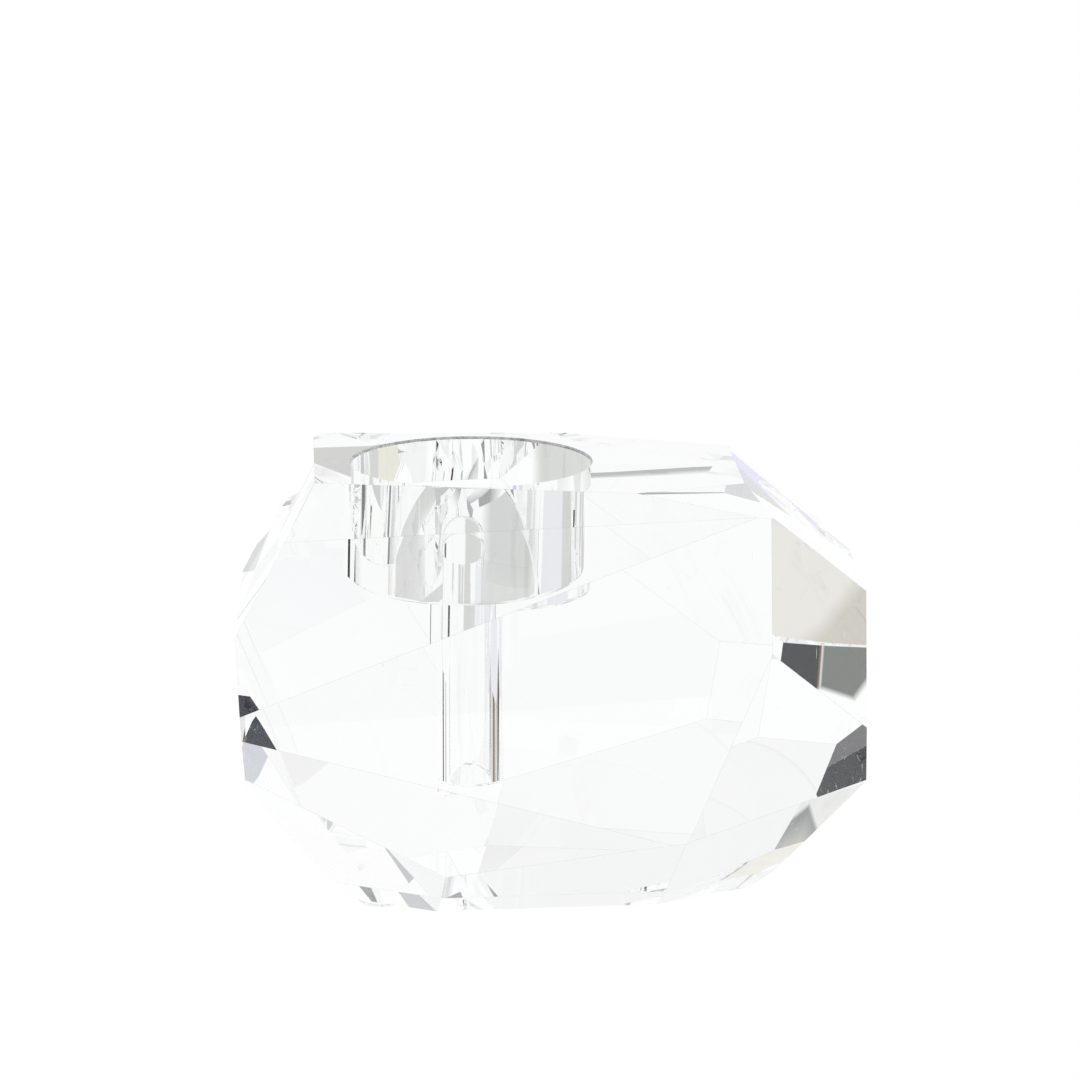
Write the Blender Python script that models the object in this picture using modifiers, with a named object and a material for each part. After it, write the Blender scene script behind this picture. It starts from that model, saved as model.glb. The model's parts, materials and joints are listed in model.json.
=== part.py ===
"""Faceted crystal candlestick: a cut block with a tealight cup and a stick-candle bore,
standing on four clear bumper pads. Metres, +Z up, origin under the middle of the block."""
from math import cos, radians, sin

import bmesh
import bpy
from mathutils import Vector

MM = 0.001

# The block rests its flat base on the pads, with a hair of adhesive between them.
PAD_HEIGHT = 1.2
PAD_FLAT_RADIUS = 2.6
PAD_GAP = 0.3
BLOCK_BASE = PAD_HEIGHT + PAD_GAP
BLOCK_TOP = 73.3

# Facet distances run from a core point inside the block.
CORE = Vector((0.5, 0.9, 38.3))
STARTING_CUBE = 200.0

# Each facet: azimuth (0 faces -Y, 90 faces +X), tilt above the horizontal, distance from the core.
FACETS = {
    "front_upper": (-8.5, 34.0, 38.5),
    "front_upper_right": (23.0, 76.5, 40.7),
    "right_upper": (93.0, 49.5, 46.6),
    "left_upper": (-87.0, 29.5, 51.9),
    "front_middle": (-7.5, 24.0, 36.3),
    "front_main": (-0.5, 7.5, 33.7),
    "front_low_wedge": (-3.5, -5.0, 37.4),
    "right_front": (26.5, 7.0, 46.4),
    "right_front_low": (19.5, -1.5, 42.8),
    "front_under": (6.0, -46.5, 42.1),
    "right_front_under": (33.5, -45.0, 45.2),
    "left_front_under": (-26.5, -40.5, 47.0),
    "right_side": (91.0, 0.5, 51.3),
    "right_shoulder": (94.5, 49.0, 47.1),
    "right_back_upper": (120.0, 54.0, 48.6),
    "left_back_upper": (-108.0, 23.0, 55.0),
    "left_back_middle": (-87.5, 19.5, 53.7),
    "left_side": (-88.5, -4.0, 51.6),
    "left_under": (-93.5, -32.0, 47.5),
    "right_under": (84.0, -38.5, 50.9),
    "back_upper": (180.0, 42.0, 40.9),
    "back_middle": (178.0, 4.0, 33.0),
    "back_left": (-140.0, -19.0, 39.0),
    "back_right": (160.0, 1.0, 40.2),
    "back_right_upper": (160.0, 25.5, 35.6),
    "back_under": (162.0, -38.0, 41.0),
    "back_right_under": (128.0, -36.0, 50.0),
}
# The facets that meet the base end in a narrow bevel, which turns further under the block.
BASE_BEVELLED = (
    "left_front_under", "front_under", "right_front_under", "right_under",
    "back_right_under", "back_under", "back_left", "left_under",
)
BEVEL_TOP = 5.5
BEVEL_TURN = 8.0

# Candle holes, both on one vertical axis.
BORE_X = -13.0
BORE_Y = 0.9
CUP_RADIUS = 20.15
CUP_DEPTH = 21.0
STICK_RADIUS = 5.6
STICK_BOTTOM = 19.7
RIM_CHAMFER = 0.35
BORE_SEGMENTS = 96
CUTTER_RISE = 5.0

# Bumper pads under the corners of the base: a short straight lip, then a rounded foot.
PAD_RADIUS = 4.0
PAD_LIP = 0.2
PAD_SEGMENTS = 48
PAD_ROUND_STEPS = 6
PADS = {
    "bumper_pad_front_left": (-28.2, -12.2),
    "bumper_pad_front_right": (30.3, -3.0),
    "bumper_pad_back_left": (-25.2, 9.1),
    "bumper_pad_back_right": (29.3, 8.0),
}

# Edges that turn less than this many degrees belong to a round surface.
SMOOTH_BELOW = 5.0


def clear_scene():
    for item in list(bpy.data.objects):
        bpy.data.objects.remove(item, do_unlink=True)


def make_collection(name):
    collection = bpy.data.collections.new(name)
    bpy.context.scene.collection.children.link(collection)
    return collection


def make_material(name, color, roughness, ior):
    material = bpy.data.materials.new(name)
    material.use_nodes = True
    shader = material.node_tree.nodes["Principled BSDF"]
    shader.inputs["Base Color"].default_value = (*color, 1.0)
    shader.inputs["Roughness"].default_value = roughness
    shader.inputs["Metallic"].default_value = 0.0
    shader.inputs["IOR"].default_value = ior
    shader.inputs["Transmission Weight"].default_value = 1.0
    return material


def add_object(name, mesh, collection, material=None):
    item = bpy.data.objects.new(name, mesh)
    collection.objects.link(item)
    if material is not None:
        mesh.materials.append(material)
    return item


def facet_normal(azimuth, tilt):
    turn, rise = radians(azimuth), radians(tilt)
    return Vector((sin(turn) * cos(rise), -cos(turn) * cos(rise), sin(rise)))


def base_bevel(azimuth, tilt, distance):
    """Tilt and distance of the bevel that starts on a facet at the height BEVEL_TOP."""
    drop = BEVEL_TOP - CORE.z
    reach = (distance - sin(radians(tilt)) * drop) / cos(radians(tilt))
    steeper = tilt - BEVEL_TURN
    return azimuth, steeper, cos(radians(steeper)) * reach + sin(radians(steeper)) * drop


def cut_away(mesh, point, normal):
    """Remove what lies beyond a plane and close the cut with one flat face."""
    geometry = mesh.verts[:] + mesh.edges[:] + mesh.faces[:]
    cut = bmesh.ops.bisect_plane(
        mesh, geom=geometry, dist=1e-7, plane_co=point * MM, plane_no=normal, clear_outer=True)
    edges = [item for item in cut["geom_cut"] if isinstance(item, bmesh.types.BMEdge)]
    if edges:
        bmesh.ops.edgeloop_fill(mesh, edges=edges)


def cut_block():
    mesh = bmesh.new()
    bmesh.ops.create_cube(mesh, size=STARTING_CUBE * MM)
    cut_away(mesh, Vector((0, 0, BLOCK_TOP)), Vector((0, 0, 1)))
    cut_away(mesh, Vector((0, 0, BLOCK_BASE)), Vector((0, 0, -1)))
    planes = list(FACETS.values())
    planes += [base_bevel(*FACETS[name]) for name in BASE_BEVELLED]
    for azimuth, tilt, distance in planes:
        normal = facet_normal(azimuth, tilt)
        cut_away(mesh, CORE + normal * distance, normal)
    bmesh.ops.remove_doubles(mesh, verts=mesh.verts, dist=1e-6)
    bmesh.ops.recalc_face_normals(mesh, faces=mesh.faces)
    data = bpy.data.meshes.new("crystal_block")
    mesh.to_mesh(data)
    mesh.free()
    return data


def turned(name, profile, segments, collection):
    """Turn a profile of (radius, height) points, run from top to bottom, about +Z."""
    mesh = bpy.data.meshes.new(name)
    points = [(radius * MM, 0.0, height * MM) for radius, height in profile]
    mesh.from_pydata(points, [(i, i + 1) for i in range(len(points) - 1)], [])
    item = add_object(name, mesh, collection)
    screw = item.modifiers.new("Turn", "SCREW")
    screw.steps = segments
    screw.render_steps = segments
    screw.use_merge_vertices = True
    screw.merge_threshold = 0.00001
    return item


def apply_modifiers(item):
    """Keep the modified mesh, shaded smooth except along its real edges."""
    graph = bpy.context.evaluated_depsgraph_get()
    mesh = bpy.data.meshes.new_from_object(item.evaluated_get(graph))
    item.modifiers.clear()
    item.data = mesh
    mesh.shade_smooth()
    mesh.set_sharp_from_angle(angle=radians(SMOOTH_BELOW))


def make_bore_cutter(collection):
    """The cup, its floor and the stick bore below it, with a 45 degree chamfer at the rim."""
    cup_floor = BLOCK_TOP - CUP_DEPTH
    mouth = CUP_RADIUS + RIM_CHAMFER + CUTTER_RISE
    profile = [
        (0.0, BLOCK_TOP + CUTTER_RISE),
        (mouth, BLOCK_TOP + CUTTER_RISE),
        (CUP_RADIUS, BLOCK_TOP - RIM_CHAMFER),
        (CUP_RADIUS, cup_floor),
        (STICK_RADIUS, cup_floor),
        (STICK_RADIUS, STICK_BOTTOM),
        (0.0, STICK_BOTTOM),
    ]
    cutter = turned("bore_cutter", profile, BORE_SEGMENTS, collection)
    cutter.location = (BORE_X * MM, BORE_Y * MM, 0.0)
    cutter.display_type = "WIRE"
    cutter.hide_render = True
    return cutter


def make_crystal(parts, cutters):
    glass = make_material("clear_crystal", (0.97, 0.985, 0.98), 0.0, 1.52)
    block = add_object("crystal_block", cut_block(), parts, glass)
    hole = block.modifiers.new("Candle holes", "BOOLEAN")
    hole.operation = "DIFFERENCE"
    hole.solver = "EXACT"
    hole.object = make_bore_cutter(cutters)
    apply_modifiers(block)


def pad_profile():
    profile = [(0.0, PAD_HEIGHT), (PAD_RADIUS, PAD_HEIGHT)]
    for step in range(PAD_ROUND_STEPS + 1):
        turn = radians(90.0 * step / PAD_ROUND_STEPS)
        radius = PAD_FLAT_RADIUS + (PAD_RADIUS - PAD_FLAT_RADIUS) * cos(turn)
        profile.append((radius, (PAD_HEIGHT - PAD_LIP) * (1.0 - sin(turn))))
    profile.append((0.0, 0.0))
    return profile


def make_pads(parts):
    """Four pads that share one mesh."""
    clear_rubber = make_material("clear_polyurethane", (0.93, 0.94, 0.94), 0.12, 1.49)
    shared = None
    for name, (x, y) in PADS.items():
        if shared is None:
            pad = turned(name, pad_profile(), PAD_SEGMENTS, parts)
            apply_modifiers(pad)
            shared = pad.data
            shared.materials.append(clear_rubber)
        else:
            pad = add_object(name, shared, parts)
        pad.location = (x * MM, y * MM, 0.0)


def main():
    clear_scene()
    parts = make_collection("crystal_candlestick")
    cutters = make_collection("cutters")
    make_crystal(parts, cutters)
    make_pads(parts)


main()
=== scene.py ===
import json
from math import cos, pi, radians, sin

import bmesh
import bpy
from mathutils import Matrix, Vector


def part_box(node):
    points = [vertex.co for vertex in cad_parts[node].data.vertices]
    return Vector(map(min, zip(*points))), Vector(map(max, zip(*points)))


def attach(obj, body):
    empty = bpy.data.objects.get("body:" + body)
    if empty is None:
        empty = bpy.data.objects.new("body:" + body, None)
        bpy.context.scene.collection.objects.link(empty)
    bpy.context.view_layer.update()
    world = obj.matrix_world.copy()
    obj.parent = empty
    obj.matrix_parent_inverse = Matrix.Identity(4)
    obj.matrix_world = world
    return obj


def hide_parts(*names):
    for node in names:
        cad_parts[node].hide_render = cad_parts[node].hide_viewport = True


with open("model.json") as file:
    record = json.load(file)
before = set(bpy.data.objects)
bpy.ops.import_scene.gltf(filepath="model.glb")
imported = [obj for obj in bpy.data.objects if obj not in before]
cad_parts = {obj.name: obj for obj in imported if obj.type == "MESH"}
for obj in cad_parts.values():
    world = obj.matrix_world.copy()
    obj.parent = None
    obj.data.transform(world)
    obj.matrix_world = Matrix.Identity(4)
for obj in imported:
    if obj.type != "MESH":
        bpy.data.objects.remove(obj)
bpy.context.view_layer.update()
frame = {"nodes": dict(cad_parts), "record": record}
MM = 0.001

BLOCK = "crystal_block"
PADS = sorted(name for name in frame["nodes"] if name.startswith("bumper_pad_"))
MOUNTS = {mount["name"]: mount for mount in frame["record"]["mounts"]}

# ---------------------------------------------------------------- the studio
CAMERA_PLACE = Vector((-1.41, -781.33, 240.57)) * MM
CAMERA_PITCH = 13.02
CAMERA_LENS = 158.67
SENSOR = 36.0
CLIP_START, CLIP_END = 0.01, 50.0
FLOOR_RADIUS = 6.0
FLOOR_SEGMENTS = 64
FLOOR_GREY = 0.35
FLOOR_GLOW = 0.72


def make_camera():
    data = bpy.data.cameras.new("camera")
    data.sensor_width = SENSOR
    data.lens = CAMERA_LENS
    data.clip_start = CLIP_START
    data.clip_end = CLIP_END
    camera = bpy.data.objects.new("camera", data)
    camera.location = CAMERA_PLACE
    camera.rotation_euler = (radians(90.0 - CAMERA_PITCH), 0.0, 0.0)
    bpy.context.scene.collection.objects.link(camera)
    bpy.context.scene.camera = camera


def make_floor():
    """A plain white disc. Rays that have gone through the glass pass it and see the room's tone."""
    mesh = bpy.data.meshes.new("floor")
    grid = bmesh.new()
    bmesh.ops.create_circle(
        grid, cap_ends=True, segments=FLOOR_SEGMENTS, radius=FLOOR_RADIUS)
    grid.to_mesh(mesh)
    grid.free()
    floor = bpy.data.objects.new("floor", mesh)
    bpy.context.scene.collection.objects.link(floor)
    material = bpy.data.materials.new("floor_white")
    material.use_nodes = True
    tree = material.node_tree
    tree.nodes.clear()
    out = tree.nodes.new("ShaderNodeOutputMaterial")
    add = tree.nodes.new("ShaderNodeAddShader")
    matte = tree.nodes.new("ShaderNodeBsdfDiffuse")
    glow = tree.nodes.new("ShaderNodeEmission")
    matte.inputs["Color"].default_value = (FLOOR_GREY, FLOOR_GREY, FLOOR_GREY, 1.0)
    glow.inputs["Color"].default_value = (1.0, 1.0, 1.0, 1.0)
    glow.inputs["Strength"].default_value = FLOOR_GLOW
    tree.links.new(matte.outputs[0], add.inputs[0])
    tree.links.new(glow.outputs[0], add.inputs[1])
    tree.links.new(add.outputs[0], out.inputs[0])
    mesh.materials.append(material)
    floor.visible_transmission = False


# Studio cards, seen only through and in the glass. Each fills a window of heading (0 is behind the
# object, 90 to its right, 180 behind the camera) and elevation, in degrees, and fades out over the
# soft edge just inside it. A later card lies over an earlier one.
CARDS = [
    # name, heading from and to, elevation from and to, soft edge, tone
    ("room_right", 112.0, 147.0, -9.0, 26.0, 5.0, (0.52, 0.53, 0.55)),
    ("room_behind_camera_right", 164.0, 200.0, -9.0, 26.0, 8.0, (0.52, 0.53, 0.55)),
    ("room_behind_camera_left", -200.0, -150.0, -9.0, 26.0, 8.0, (0.52, 0.53, 0.55)),
    ("back_wall", -75.0, 75.0, -6.0, 62.0, 24.0, (0.890, 0.900, 0.893)),
    ("back_wall_corner", -42.0, -30.0, 12.0, 26.0, 3.0, (0.78, 0.79, 0.77)),
    ("side_wall_left", -130.0, -76.0, 34.0, 60.0, 6.0, (0.66, 0.67, 0.69)),
    ("side_wall_right", 100.0, 123.0, -3.0, 11.0, 3.0, (0.60, 0.61, 0.58)),
    ("corner_right", 118.0, 134.0, -6.0, 4.0, 5.0, (0.50, 0.50, 0.47)),
    ("camera_room_right", 133.0, 179.0, 30.0, 75.0, 6.0, (0.26, 0.27, 0.28)),
    ("camera_room_left", -179.0, -150.0, 30.0, 75.0, 6.0, (0.30, 0.31, 0.32)),
    ("table_behind", -3.0, 84.0, -84.0, -52.0, 7.0, (0.62, 0.63, 0.62)),
    ("table_behind_right", 4.0, 66.0, -43.0, -23.5, 4.5, (0.64, 0.66, 0.64)),
    ("table_right", 60.0, 114.0, -38.0, -13.0, 4.0, (0.83, 0.84, 0.88)),
    ("table_front_left", -179.0, -150.0, -75.0, -42.0, 6.0, (0.62, 0.63, 0.62)),
    ("table_front_right", 120.0, 179.0, -75.0, -42.0, 6.0, (0.64, 0.64, 0.62)),
    ("table_front", 140.0, 156.0, -34.0, -20.0, 4.0, (0.80, 0.79, 0.70)),
    ("lilac_card", -101.0, -88.0, 49.0, 58.0, 2.0, (0.50, 0.44, 0.86)),
    ("beige_board_upper", -116.0, -107.0, -27.5, -21.5, 1.0, (0.775, 0.765, 0.715)),
    ("beige_board_lower", -116.0, -107.0, -27.8, -24.85, 0.35, (0.575, 0.545, 0.475)),
    ("stand_left_glow", -71.5, -61.5, -4.4, 4.6, 0.6, (0.85, 0.50, 0.22)),
    ("stand_left", -71.0, -62.2, -3.4, 4.0, 0.8, (0.012, 0.018, 0.030)),
    ("stand_left_foot", -92.0, -80.0, -6.5, 0.0, 1.5, (0.62, 0.65, 0.70)),
    ("low_flag_glow", -147.5, -143.42, -36.0, -31.6, 0.12, (0.75, 0.62, 0.46)),
    ("low_flag_front", -147.5, -143.50, -36.0, -32.2, 0.15, (0.010, 0.012, 0.018)),
    ("cream_card_high", -121.5, -114.0, 35.4, 40.5, 0.8, (0.84, 0.83, 0.75)),
    ("shelf_behind", -36.0, -32.84, 18.11, 20.5, 0.06, (0.13, 0.14, 0.15)),
    ("shelf_behind_lit", -36.0, -32.84, 18.15, 20.5, 0.40, (0.55, 0.55, 0.52)),
    ("flag_left_strip", -116.0, -113.0, 23.6, 26.6, 0.4, (0.16, 0.16, 0.17)),
    ("amber_bottle", 60.0, 76.0, -2.0, 5.2, 1.5, (0.045, 0.030, 0.014)),
    ("board_right", 74.0, 98.0, 0.0, 12.0, 2.0, (0.42, 0.38, 0.32)),
    ("flag_right", 84.0, 90.0, -2.0, 14.0, 1.0, (0.02, 0.018, 0.012)),
    ("stand_right", 137.0, 152.0, -3.0, 12.0, 1.5, (0.03, 0.04, 0.06)),
    ("flag_above_right", 138.0, 156.0, 44.0, 62.0, 2.0, (0.05, 0.055, 0.06)),
    ("gap_behind_grey", -25.79, -24.75, -18.88, -15.8, 0.05, (0.17, 0.185, 0.17)),
    ("gap_behind_fringe", -25.86, -25.77, -18.88, -15.8, 0.03, (0.30, 0.20, 0.12)),
    ("gap_behind_dark", -36.0, -25.79, -18.92, -15.8, 0.05, (0.012, 0.014, 0.020)),
]
ROOM_TONE = (0.985, 0.99, 0.99)
BACKDROP = (1.0, 1.0, 1.0)


def math_node(tree, operation, first, second=None, clamp=False):
    """One Math node; each value is a number or another node's output."""
    node = tree.nodes.new("ShaderNodeMath")
    node.operation = operation
    node.use_clamp = clamp
    for socket, value in zip(node.inputs, (first, second)):
        if value is None:
            continue
        if isinstance(value, float):
            socket.default_value = value
        else:
            tree.links.new(value, socket)
    return node.outputs[0]


# Sockets of a colour Mix node, by their place in it.
MIX_SHARE, MIX_FIRST, MIX_SECOND, MIX_RESULT = 0, 6, 7, 2


def mix_colours(tree, share, first, second):
    """Mix from the first colour to the second; each is a plain colour or another node's output."""
    mix = tree.nodes.new("ShaderNodeMix")
    mix.data_type = "RGBA"
    for place, colour in ((MIX_FIRST, first), (MIX_SECOND, second)):
        if isinstance(colour, tuple):
            mix.inputs[place].default_value = (*colour, 1.0)
        else:
            tree.links.new(colour, mix.inputs[place])
    tree.links.new(share, mix.inputs[MIX_SHARE])
    return mix.outputs[MIX_RESULT]


def lay_card(tree, heading, elevation, below, card):
    """Mix one soft-edged card over the tone so far."""
    _, left, right, low, high, edge, tone = card
    across = math_node(tree, "MINIMUM", math_node(tree, "SUBTRACT", heading, left),
                       math_node(tree, "SUBTRACT", right, heading))
    upright = math_node(tree, "MINIMUM", math_node(tree, "SUBTRACT", elevation, low),
                        math_node(tree, "SUBTRACT", high, elevation))
    inside = math_node(tree, "MINIMUM", across, upright)
    share = math_node(tree, "DIVIDE", inside, edge, clamp=True)
    return mix_colours(tree, share, below, tone)


def make_world():
    """A white room with a few soft cards; looked at directly it is a plain white backdrop."""
    world = bpy.data.worlds.new("studio")
    world.use_nodes = True
    tree = world.node_tree
    tree.nodes.clear()
    out = tree.nodes.new("ShaderNodeOutputWorld")
    sky = tree.nodes.new("ShaderNodeBackground")
    place = tree.nodes.new("ShaderNodeTexCoord")
    tone = ROOM_TONE
    split = tree.nodes.new("ShaderNodeSeparateXYZ")
    tree.links.new(place.outputs["Generated"], split.inputs[0])
    heading = math_node(tree, "ARCTAN2", split.outputs[0], split.outputs[1])
    heading = math_node(tree, "DEGREES", heading)
    elevation = math_node(tree, "DEGREES", math_node(tree, "ARCSINE", split.outputs[2]))
    for card in CARDS:
        tone = lay_card(tree, heading, elevation, tone, card)
    path = tree.nodes.new("ShaderNodeLightPath")
    seen = mix_colours(tree, path.outputs["Is Camera Ray"], tone, BACKDROP)
    tree.links.new(seen, sky.inputs["Color"])
    tree.links.new(sky.outputs[0], out.inputs[0])
    bpy.context.scene.world = world


GLASS_BOUNCES = 32
GLOSSY_BOUNCES = 16
DIFFUSE_BOUNCES = 4


def set_light_paths():
    """Let light bounce often enough to leave the block, and keep its caustics."""
    cycles = bpy.context.scene.cycles
    cycles.max_bounces = GLASS_BOUNCES
    cycles.transmission_bounces = GLASS_BOUNCES
    cycles.glossy_bounces = GLOSSY_BOUNCES
    cycles.diffuse_bounces = DIFFUSE_BOUNCES
    cycles.caustics_refractive = True
    cycles.caustics_reflective = True
    cycles.blur_glossy = 0.0
    bpy.context.scene.view_settings.view_transform = "Standard"


# ---------------------------------------------------------------- meshes
STARTING_CUBE = 0.4
TINY_AREA = 1e-9
SAME_NORMAL = 1e-3
ON_PLANE = 2e-6
CUT_TOLERANCE = 1e-7
SAME_HEIGHT = 1e-5

EDGE_POLISH = 0.15 * MM
EDGE_SEGMENTS = 2
BORE_SEGMENTS = 256
FLOOR_FILLET = 0.7 * MM
BORE_FILLET = 0.5 * MM
MOUTH_ROUND = 0.35 * MM
CUTTER_RISE = 3.0 * MM
# The polish at the cup's mouth: how far each point stands out from the wall and down from the top.
RIM_OUTER = 0.30 * MM
RIM_MIDDLE = (0.07 * MM, 0.22 * MM)
RIM_DEPTH = 0.42 * MM
RIM_MARGIN = 0.03 * MM
HOLE_MARGIN = 0.05 * MM
HAIR = 0.01 * MM
CRYSTAL_SHARP = 4.0

# Places in the crystal's list of materials; the arris and rim materials carry painted shade.
FACET, ARRIS, RIM = 0, 1, 2
PARALLEL = 0.99999

PAD_FOOT = 2.6 * MM
PAD_LIP = 0.15 * MM
PAD_LIP_STEPS = 4
PAD_DOME_STEPS = 14
PAD_SEGMENTS = 96
PAD_SHARP = 40.0


def link_piece(name, mesh, node):
    piece = bpy.data.objects.new(name, mesh)
    bpy.context.scene.collection.objects.link(piece)
    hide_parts(node)
    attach(piece, "root")
    return piece


def outer_planes(mesh):
    """The planes that the whole solid lies behind: its facets, without the candle holes."""
    places = [vertex.co for vertex in mesh.vertices]
    planes = []
    for face in mesh.polygons:
        normal = face.normal
        if face.area < TINY_AREA:
            continue
        if any((normal - other).length < SAME_NORMAL for _, other in planes):
            continue
        point = mesh.vertices[face.vertices[0]].co
        if max((place - point).dot(normal) for place in places) < ON_PLANE:
            planes.append((point.copy(), normal.copy()))
    return planes


def cut_solid(planes):
    """The convex solid behind all the planes, cut from a cube."""
    solid = bmesh.new()
    bmesh.ops.create_cube(solid, size=STARTING_CUBE)
    for point, normal in planes:
        geometry = solid.verts[:] + solid.edges[:] + solid.faces[:]
        cut = bmesh.ops.bisect_plane(
            solid, geom=geometry, dist=CUT_TOLERANCE, plane_co=point, plane_no=normal,
            clear_outer=True)
        edges = [item for item in cut["geom_cut"] if isinstance(item, bmesh.types.BMEdge)]
        if edges:
            bmesh.ops.edgeloop_fill(solid, edges=edges)
    bmesh.ops.remove_doubles(solid, verts=solid.verts, dist=ON_PLANE)
    bmesh.ops.recalc_face_normals(solid, faces=solid.faces)
    return solid


def turned_mesh(profile, segments):
    """A closed turned solid from (radius, height) points given top to bottom."""
    solid = bmesh.new()
    rings = []
    for radius, height in profile:
        if radius == 0.0:
            rings.append([solid.verts.new((0.0, 0.0, height))])
            continue
        ring = []
        for i in range(segments):
            turn = 2.0 * pi * i / segments
            ring.append(solid.verts.new((radius * cos(turn), radius * sin(turn), height)))
        rings.append(ring)
    for above, below in zip(rings, rings[1:]):
        for i in range(segments):
            j = (i + 1) % segments
            corners = [above[i % len(above)], below[i % len(below)],
                       below[j % len(below)], above[j % len(above)]]
            unique = [corner for k, corner in enumerate(corners) if corner not in corners[:k]]
            solid.faces.new(unique)
    bmesh.ops.recalc_face_normals(solid, faces=solid.faces)
    return solid


def arc(centre, radius, start, end, steps):
    """Points of a fillet in a profile: (radius, height) pairs along an arc, angles in degrees."""
    points = []
    for i in range(steps + 1):
        turn = radians(start + (end - start) * i / steps)
        points.append((centre[0] + radius * cos(turn), centre[1] + radius * sin(turn)))
    return points


def hole_sizes(mesh, axis, cup_floor, bore_bottom):
    """Cup and bore radii, measured on the fixed model."""
    def reach(height):
        return max(
            (Vector((vertex.co.x, vertex.co.y)) - axis).length
            for vertex in mesh.vertices if abs(vertex.co.z - height) < SAME_HEIGHT)
    return reach(cup_floor), reach(bore_bottom)


def hole_profile(cup_radius, cup_floor, bore_radius, bore_bottom, top):
    """The cutter's outline, from above the block down the cup and the bore to its bottom."""
    mouth = cup_radius + RIM_OUTER
    profile = [(0.0, top + CUTTER_RISE), (mouth + CUTTER_RISE, top + CUTTER_RISE), (mouth, top)]
    profile += [(cup_radius + RIM_MIDDLE[0], top - RIM_MIDDLE[1]), (cup_radius, top - RIM_DEPTH)]
    profile += arc((cup_radius - FLOOR_FILLET, cup_floor + FLOOR_FILLET), FLOOR_FILLET, 0, -90, 8)
    profile += arc((bore_radius + MOUTH_ROUND, cup_floor - MOUTH_ROUND), MOUTH_ROUND, 90, 180, 5)
    profile += arc((bore_radius - BORE_FILLET, bore_bottom + BORE_FILLET), BORE_FILLET, 0, -90, 6)
    return profile + [(0.0, bore_bottom)]


def stored_mesh(name, solid):
    mesh = bpy.data.meshes.new(name)
    solid.to_mesh(mesh)
    solid.free()
    return mesh


def make_crystal_mesh(node):
    """The block with polished arrises and smooth turned holes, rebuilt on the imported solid."""
    cup = Vector(MOUNTS["cup_floor"]["pos_m"])
    bottom = Vector(MOUNTS["stick_bore_bottom"]["pos_m"])
    axis = Vector((bottom.x, bottom.y))
    cup_radius, bore_radius = hole_sizes(node.data, axis, cup.z, bottom.z)
    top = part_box(BLOCK)[1].z

    planes = outer_planes(node.data)
    solid = cut_solid(planes)
    bmesh.ops.bevel(
        solid, geom=solid.edges[:], offset=EDGE_POLISH, segments=EDGE_SEGMENTS, profile=0.5,
        affect="EDGES", clamp_overlap=True)
    block_mesh = stored_mesh("block", solid)

    cutter = turned_mesh(
        hole_profile(cup_radius, cup.z, bore_radius, bottom.z, top), BORE_SEGMENTS)
    bmesh.ops.translate(cutter, verts=cutter.verts, vec=(axis.x, axis.y, 0.0))
    cutter_mesh = stored_mesh("cutter", cutter)

    block = bpy.data.objects.new("block", block_mesh)
    tool = bpy.data.objects.new("tool", cutter_mesh)
    for item in (block, tool):
        bpy.context.scene.collection.objects.link(item)
    hole = block.modifiers.new("holes", "BOOLEAN")
    hole.operation = "DIFFERENCE"
    hole.solver = "EXACT"
    hole.object = tool
    graph = bpy.context.evaluated_depsgraph_get()
    mesh = bpy.data.meshes.new_from_object(block.evaluated_get(graph))
    bpy.data.objects.remove(block, do_unlink=True)
    bpy.data.objects.remove(tool, do_unlink=True)
    mesh.name = "crystal_body"
    # The facets stay clear; the arris and rim materials carry painted shade, dark lines along the
    # edges.
    for material in (
            crystal_material(),
            edge_shade_material("crystal_edge", *ARRIS_SHADE_TINTS, 0.10),
            edge_shade_material("crystal_rim", *RIM_SHADE_TINTS, 0.12)):
        mesh.materials.append(material)
    mark_edges(mesh, planes, axis, cup_radius, bottom.z, top)
    mesh.shade_smooth()
    mesh.set_sharp_from_angle(angle=radians(CRYSTAL_SHARP))
    return mesh


def mark_edges(mesh, planes, axis, cup_radius, bottom, top):
    """Give the arrises between facets and the ring at the cup's mouth their own materials, which
    paint shade on them as dark lines.
    """
    for face in mesh.polygons:
        place = face.center
        reach = (Vector((place.x, place.y)) - axis).length
        in_ring = top - RIM_DEPTH - RIM_MARGIN < place.z < top - HAIR
        in_hole = reach < cup_radius + HOLE_MARGIN and place.z > bottom - HAIR
        if in_ring and reach < cup_radius + RIM_OUTER + HOLE_MARGIN:
            face.material_index = RIM
        elif in_hole or any(
                face.normal.dot(normal) > PARALLEL and abs((place - point).dot(normal)) < ON_PLANE
                for point, normal in planes):
            face.material_index = FACET
        else:
            face.material_index = ARRIS


def make_pad_mesh(node_name):
    """A domed pad with a flat foot and a rounded upper lip, as wide and tall as its CAD node."""
    low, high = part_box(node_name)
    middle = (low + high) / 2
    radius = (high.x - low.x) / 2
    tall = high.z - low.z
    profile = [(0.0, tall), (radius - PAD_LIP, tall)]
    profile += arc((radius - PAD_LIP, tall - PAD_LIP), PAD_LIP, 90, 0, PAD_LIP_STEPS)[1:]
    for i in range(1, PAD_DOME_STEPS + 1):
        turn = pi / 2 * i / PAD_DOME_STEPS
        profile.append((PAD_FOOT + (radius - PAD_FOOT) * cos(turn),
                        (tall - PAD_LIP) * (1.0 - sin(turn))))
    profile.append((0.0, 0.0))
    solid = turned_mesh(profile, PAD_SEGMENTS)
    bmesh.ops.translate(solid, verts=solid.verts, vec=(middle.x, middle.y, low.z))
    mesh = stored_mesh(node_name + "_dome", solid)
    mesh.shade_smooth()
    mesh.set_sharp_from_angle(angle=radians(PAD_SHARP))
    return mesh


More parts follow.
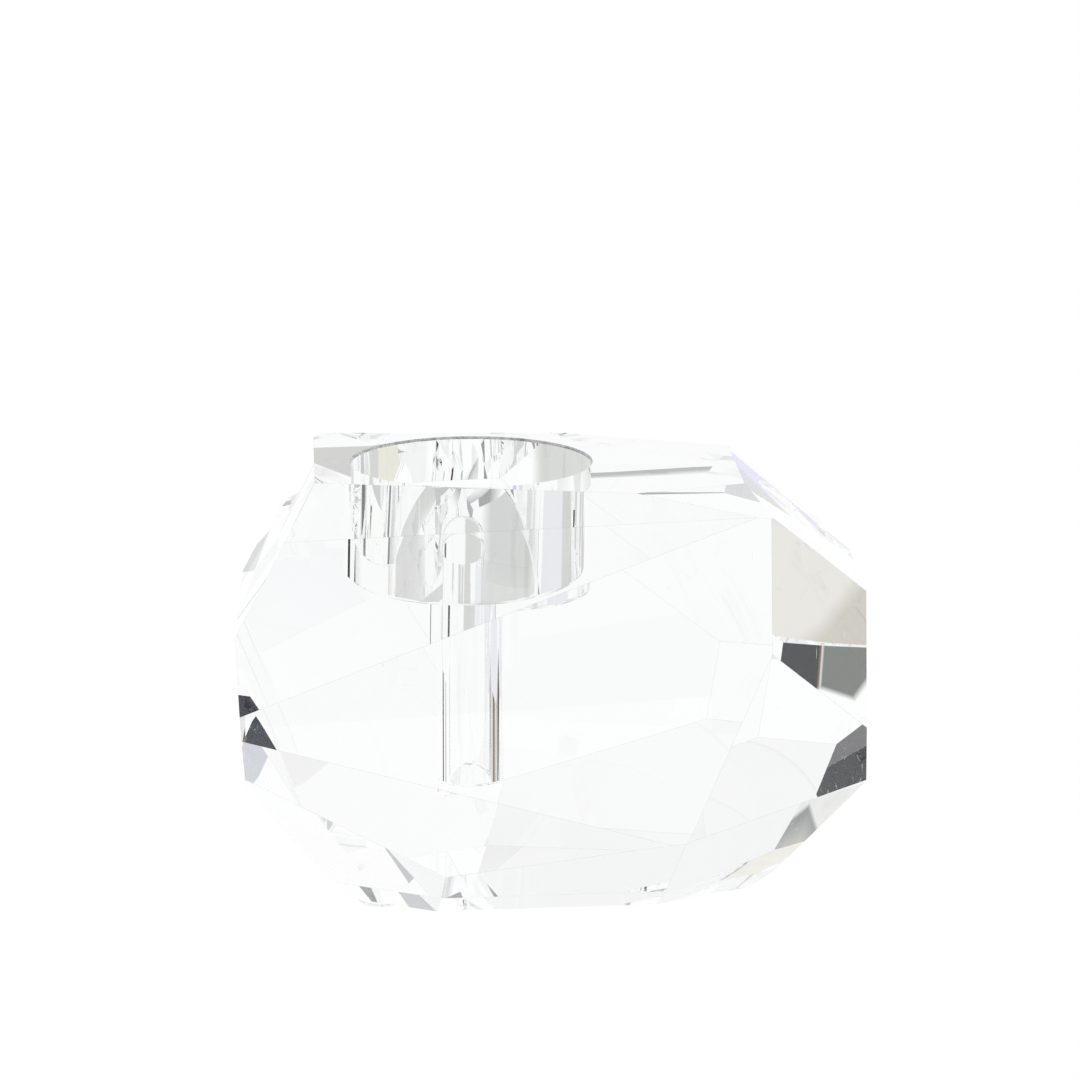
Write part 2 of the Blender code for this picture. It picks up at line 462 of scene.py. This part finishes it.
# ---------------------------------------------------------------- materials
CRYSTAL_IOR = 1.52
PAD_IOR = 1.49
WHITE = (1.0, 1.0, 1.0)
WIPED = (0.93, 0.94, 0.94)
# Painted shade on the arrises: the dark and the lighter grey of their tint.
ARRIS_SHADE_TINTS = ((0.16, 0.17, 0.18), (0.40, 0.42, 0.43))
# Painted shade on the ring at the cup's mouth, darker still: its dark and lighter grey.
RIM_SHADE_TINTS = ((0.07, 0.085, 0.09), (0.26, 0.29, 0.30))
PAD_TINT = (0.92, 0.93, 0.90)
BUBBLE_TINT = (0.78, 0.80, 0.78)
# Hairline wipe marks: how finely each set is squeezed along X, Y and Z, and how it is turned.
HAIRLINES = (((260.0, 260.0, 5200.0), 31.0), ((5600.0, 240.0, 240.0), -24.0))


def new_glass(name, tint, ior):
    """A clear Principled material; patterns are then linked over its tint and roughness."""
    material = bpy.data.materials.new(name)
    material.use_nodes = True
    tree = material.node_tree
    shader = tree.nodes["Principled BSDF"]
    shader.inputs["Base Color"].default_value = (*tint, 1.0)
    shader.inputs["IOR"].default_value = ior
    shader.inputs["Transmission Weight"].default_value = 1.0
    return material, tree, shader


def noise_pattern(tree, scale, detail=2.0, stretch=(1.0, 1.0, 1.0), turn=0.0):
    """Noise over the object's own coordinates, in metres, stretched and turned."""
    place = tree.nodes.new("ShaderNodeTexCoord")
    mapping = tree.nodes.new("ShaderNodeMapping")
    mapping.inputs["Scale"].default_value = stretch
    mapping.inputs["Rotation"].default_value = (
        radians(turn), radians(turn * 0.7), radians(turn))
    noise = tree.nodes.new("ShaderNodeTexNoise")
    noise.inputs["Scale"].default_value = scale
    noise.inputs["Detail"].default_value = detail
    tree.links.new(place.outputs["Object"], mapping.inputs["Vector"])
    tree.links.new(mapping.outputs["Vector"], noise.inputs["Vector"])
    return noise.outputs["Fac"]


def spread(tree, value, start, end, low, high):
    """Map a pattern's range from start..end to low..high."""
    node = tree.nodes.new("ShaderNodeMapRange")
    node.inputs["From Min"].default_value = start
    node.inputs["From Max"].default_value = end
    node.inputs["To Min"].default_value = low
    node.inputs["To Max"].default_value = high
    tree.links.new(value, node.inputs["Value"])
    return node.outputs["Result"]


def bump_by(tree, shader, value, strength, distance):
    """Raise the surface by a pattern; the distance is in metres."""
    bump = tree.nodes.new("ShaderNodeBump")
    bump.inputs["Strength"].default_value = strength
    bump.inputs["Distance"].default_value = distance
    tree.links.new(value, bump.inputs["Height"])
    tree.links.new(bump.outputs["Normal"], shader.inputs["Normal"])


def crystal_material():
    """Clear polished crystal with hairline wipe marks, faint haze and dust, too slight to blur it."""
    material, tree, shader = new_glass("polished_crystal", WHITE, CRYSTAL_IOR)
    first, second = (
        spread(tree, noise_pattern(tree, 1.0, 1.0, *lines), 0.80, 0.83, 0.0, 1.0)
        for lines in HAIRLINES)
    marks = math_node(tree, "MAXIMUM", first, second)
    dust = spread(tree, noise_pattern(tree, 2600.0, 1.0), 0.80, 0.84, 0.0, 1.0)
    marks = math_node(tree, "MAXIMUM", marks, dust)
    haze = spread(tree, noise_pattern(tree, 70.0, 3.0), 0.62, 0.80, 0.0, 0.001)
    marked = math_node(tree, "MULTIPLY", marks, 0.11)
    roughness = math_node(tree, "ADD", haze, marked, clamp=True)
    tree.links.new(roughness, shader.inputs["Roughness"])
    tree.links.new(mix_colours(tree, marks, WHITE, WIPED), shader.inputs["Base Color"])
    bump_by(tree, shader, marks, 0.25, 0.01 * MM)
    return material


def edge_shade_material(name, dark, light, rough):
    """A narrow arris between two facets, softer than the faces and tinted a darker grey: painted
    shade that makes it read as a dark fine line.
    """
    material, tree, shader = new_glass(name, light, CRYSTAL_IOR)
    grain = noise_pattern(tree, 900.0, 3.0)
    # The grain mixes the painted shade between its dark and its lighter grey.
    tint = mix_colours(tree, spread(tree, grain, 0.35, 0.65, 0.0, 1.0), dark, light)
    tree.links.new(tint, shader.inputs["Base Color"])
    tree.links.new(spread(tree, grain, 0.3, 0.7, rough * 0.6, rough), shader.inputs["Roughness"])
    bump_by(tree, shader, grain, 0.12, 0.04 * MM)
    return material


def pad_material():
    """Clear soft polyurethane: slightly warm, with a fine moulded grain and a few tiny bubbles."""
    material, tree, shader = new_glass("clear_polyurethane", PAD_TINT, PAD_IOR)
    grain = noise_pattern(tree, 1800.0, 2.0)
    bubbles = spread(tree, noise_pattern(tree, 3200.0, 0.0), 0.72, 0.76, 0.0, 1.0)
    tree.links.new(mix_colours(tree, bubbles, PAD_TINT, BUBBLE_TINT), shader.inputs["Base Color"])
    tree.links.new(spread(tree, grain, 0.35, 0.65, 0.05, 0.16), shader.inputs["Roughness"])
    bump_by(tree, shader, grain, 0.15, 0.05 * MM)
    return material


# ---------------------------------------------------------------- the scene
make_camera()
make_floor()
make_world()
set_light_paths()

link_piece("crystal_body", make_crystal_mesh(frame["nodes"][BLOCK]), BLOCK)
clear_rubber = pad_material()
for pad_node in PADS:
    pad = link_piece(
        pad_node.replace("bumper_", ""), make_pad_mesh(pad_node), pad_node)
    pad.data.materials.append(clear_rubber)
